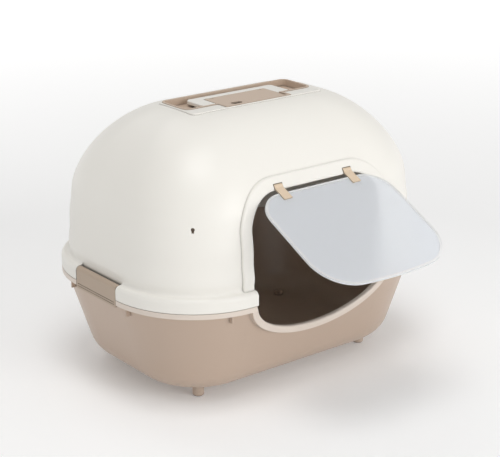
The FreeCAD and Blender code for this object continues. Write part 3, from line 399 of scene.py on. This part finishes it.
flap_frosted = frosted_plastic("frosted_flap_plastic", (0.90, 0.925, 0.96), (0.97, 0.97, 0.97))
dress(flap_frosted, "flap_panel")

# %% [markdown]
# The filter is a soft pad of carbon-filled fibre between two sheets of fleece, welded round its edge. The
# solid is a plain block, so a mesh replaces it: a grid of points that crowns in the middle, dips along
# welded diagonal lines and thins out to a flat welded border.

# %% Filter pad
PAD_COLUMNS, PAD_ROWS = 64, 28
PAD_LEAST = 0.62
PAD_FILL = 0.94
LUMP_SIZE, LUMP_SHARE = 6 * MM, 0.06
FLEECE_THICK = 0.8 * MM
WELD_BORDER = 3.5 * MM
QUILT_PITCH = 13 * MM
pad_low, pad_high = (Vector(corner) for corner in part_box("carbon_filter"))


def pad_height(x, y):
    """The pad's swelling, from nought on the welds to one between them."""
    to_border = min(x - pad_low.x, pad_high.x - x, y - pad_low.y, pad_high.y - y)
    crown = min(1, max(0, (to_border - WELD_BORDER) / (4 * WELD_BORDER))) ** 0.5
    lines = [abs(math.sin(math.pi * (x + sign * y) / QUILT_PITCH)) for sign in (-1, 1)]
    puff = min(lines) ** 0.35
    return crown * (PAD_LEAST + (1 - PAD_LEAST) * puff)


def make_filter_pad():
    pad_mesh = bmesh.new()
    full = pad_high.z - pad_low.z - FLEECE_THICK
    layers = []
    for upper in (False, True):
        layer = []
        for row in range(PAD_ROWS + 1):
            for column in range(PAD_COLUMNS + 1):
                x = pad_low.x + (pad_high.x - pad_low.x) * column / PAD_COLUMNS
                y = pad_low.y + (pad_high.y - pad_low.y) * row / PAD_ROWS
                lumps = LUMP_SHARE * noise.noise(Vector((x, y, 0)) / LUMP_SIZE)
                swelling = max(0, pad_height(x, y) * (1 + lumps) * PAD_FILL)
                lift = FLEECE_THICK + full * swelling if upper else 0
                layer.append(pad_mesh.verts.new((x, y, pad_low.z + lift)))
        layers.append(layer)
    across = PAD_COLUMNS + 1
    for layer, upper in zip(layers, (False, True)):
        for row in range(PAD_ROWS):
            for column in range(PAD_COLUMNS):
                first = row * across + column
                ring = [layer[first], layer[first + 1], layer[first + 1 + across], layer[first + across]]
                pad_mesh.faces.new(ring if upper else ring[::-1])
    rim = [*range(PAD_COLUMNS), *(row * across + PAD_COLUMNS for row in range(PAD_ROWS))]
    rim += [PAD_ROWS * across + column for column in range(PAD_COLUMNS, 0, -1)]
    rim += [row * across for row in range(PAD_ROWS, 0, -1)]
    for here, there in zip(rim, rim[1:] + rim[:1]):
        pad_mesh.faces.new((layers[0][here], layers[0][there], layers[1][there], layers[1][here]))
    mesh = bpy.data.meshes.new("filter_pad")
    pad_mesh.to_mesh(mesh)
    pad_mesh.free()
    mesh.shade_smooth()
    pad = bpy.data.objects.new("filter_pad", mesh)
    bpy.context.scene.collection.objects.link(pad)
    return pad


filter_pad = make_filter_pad()
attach(filter_pad, "hood")
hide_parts("carbon_filter")
print("filter pad faces:", len(filter_pad.data.polygons))

# %% [markdown]
# Fleece is a tangle of fibres: dark, with no gloss, and fuzzy at grazing angles. Two crossed noises
# stretched in different directions make the fibres, and the shader's sheen makes the fuzz.

# %% Filter fleece


def filter_fleece(name):
    material = bpy.data.materials.new(name)
    material.use_nodes = True
    tree = material.node_tree
    join = tree.links.new
    shader = tree.nodes["Principled BSDF"]
    shader.inputs["Sheen Weight"].default_value = 0.3
    shader.inputs["Roughness"].default_value = 0.95
    place = add_node(tree, "ShaderNodeTexCoord")
    fibres = []
    for scale in ((300, 2600, 900), (2400, 320, 900)):
        stretch = add_node(tree, "ShaderNodeMapping", scale=scale)
        strands = add_node(tree, "ShaderNodeTexNoise", scale=1.0, detail=3.0)
        join(place.outputs["Object"], stretch.inputs["Vector"])
        join(stretch.outputs["Vector"], strands.inputs["Vector"])
        fibres.append(strands.outputs["Fac"])
    tangle = add_node(tree, "ShaderNodeMath", operation="MAXIMUM")
    join(fibres[0], tangle.inputs[0])
    join(fibres[1], tangle.inputs[1])
    ramp = add_node(tree, "ShaderNodeValToRGB")
    ramp.color_ramp.elements[0].color = (0.012, 0.012, 0.013, 1)
    ramp.color_ramp.elements[1].color = (0.09, 0.09, 0.095, 1)
    raised = add_node(tree, "ShaderNodeBump", strength=0.5, distance=0.4 * MM)
    join(tangle.outputs["Value"], ramp.inputs["Fac"])
    join(ramp.outputs["Color"], shader.inputs["Base Color"])
    join(tangle.outputs["Value"], raised.inputs["Height"])
    join(raised.outputs["Normal"], shader.inputs["Normal"])
    return material


fleece = filter_fleece("filter_fleece")
filter_pad.data.materials.append(fleece)
print("filter pad wears", fleece.name)

# %% [markdown]
# The studio is plain: a pale floor that runs on far behind the box, a bright sky, and three soft
# lights. The sky fills the shadows. One light hangs high on the left, a low one at the front makes the
# front brighter than the left side, and a weak one behind lifts the top. Far from the box the floor
# glows, and the sky is brighter near the horizon, so the backdrop stays white.

# %% Studio
FLOOR_REACH = 60
GLOW_START, GLOW_FULL = 0.9, 3.5
GLOW_NEAR, GLOW_FAR = 0.13, 0.6
BAND_FULL, BAND_END = 0.07, 0.17
SKY_BAND, SKY_ABOVE = 0.97, 0.47
LIGHT_DISTANCE = 3.2
LIGHT_SIZE = 1.4


def make_floor():
    mesh = bpy.data.meshes.new("studio_floor")
    corners = [(x * FLOOR_REACH, y * FLOOR_REACH, 0) for x, y in ((-1, -1), (1, -1), (1, 1), (-1, 1))]
    mesh.from_pydata(corners, [], [(0, 1, 2, 3)])
    floor = bpy.data.objects.new("studio_floor", mesh)
    bpy.context.scene.collection.objects.link(floor)
    material = bpy.data.materials.new("pale_floor")
    material.use_nodes = True
    tree = material.node_tree
    join = tree.links.new
    shader = tree.nodes["Principled BSDF"]
    shader.inputs["Roughness"].default_value = 0.8
    shader.inputs["Emission Color"].default_value = (1, 1, 1, 1)
    place = add_node(tree, "ShaderNodeTexCoord")
    away = add_node(tree, "ShaderNodeVectorMath", operation="LENGTH")
    glow = add_node(tree, "ShaderNodeMapRange", from_min=GLOW_START, from_max=GLOW_FULL)
    glow.inputs["To Min"].default_value = GLOW_NEAR
    glow.inputs["To Max"].default_value = GLOW_FAR
    clouds = add_node(tree, "ShaderNodeTexNoise", scale=0.8, detail=2.0)
    join(place.outputs["Object"], away.inputs[0])
    join(away.outputs["Value"], glow.inputs["Value"])
    join(glow.outputs["Result"], shader.inputs["Emission Strength"])
    tone = mix_colours(tree, clouds.outputs["Fac"], (0.90, 0.90, 0.90), (0.93, 0.93, 0.93))
    join(tone, shader.inputs["Base Color"])
    mesh.materials.append(material)
    return floor


def make_sky():
    """An even sky, brighter in a low band round the horizon so that the backdrop has no edge."""
    sky = bpy.data.worlds.new("studio_sky")
    sky.use_nodes = True
    tree = sky.node_tree
    background = tree.nodes["Background"]
    background.inputs["Color"].default_value = (1.0, 0.995, 0.985, 1)
    place = add_node(tree, "ShaderNodeTexCoord")
    height = add_node(tree, "ShaderNodeSeparateXYZ")
    band = add_node(tree, "ShaderNodeMapRange", from_min=BAND_FULL, from_max=BAND_END)
    band.inputs["To Min"].default_value = SKY_BAND
    band.inputs["To Max"].default_value = SKY_ABOVE
    tree.links.new(place.outputs["Generated"], height.inputs["Vector"])
    tree.links.new(height.outputs["Z"], band.inputs["Value"])
    tree.links.new(band.outputs["Result"], background.inputs["Strength"])
    return sky


def soft_light(name, azimuth, elevation, power):
    light = bpy.data.objects.new(name, bpy.data.lights.new(name, "AREA"))
    light.data.size = LIGHT_SIZE
    light.data.energy = power
    way = direction_from(math.radians(azimuth), math.radians(elevation))
    light.location = BOX_MIDDLE + way * LIGHT_DISTANCE
    look_at(light, BOX_MIDDLE)
    bpy.context.scene.collection.objects.link(light)
    return light


make_floor()
soft_light("high_light", -40, 72, 30)
soft_light("front_light", 12, 15, 29)
soft_light("back_light", 180, 55, 9)
bpy.context.scene.world = make_sky()
bpy.context.scene.view_settings.view_transform = "Standard"
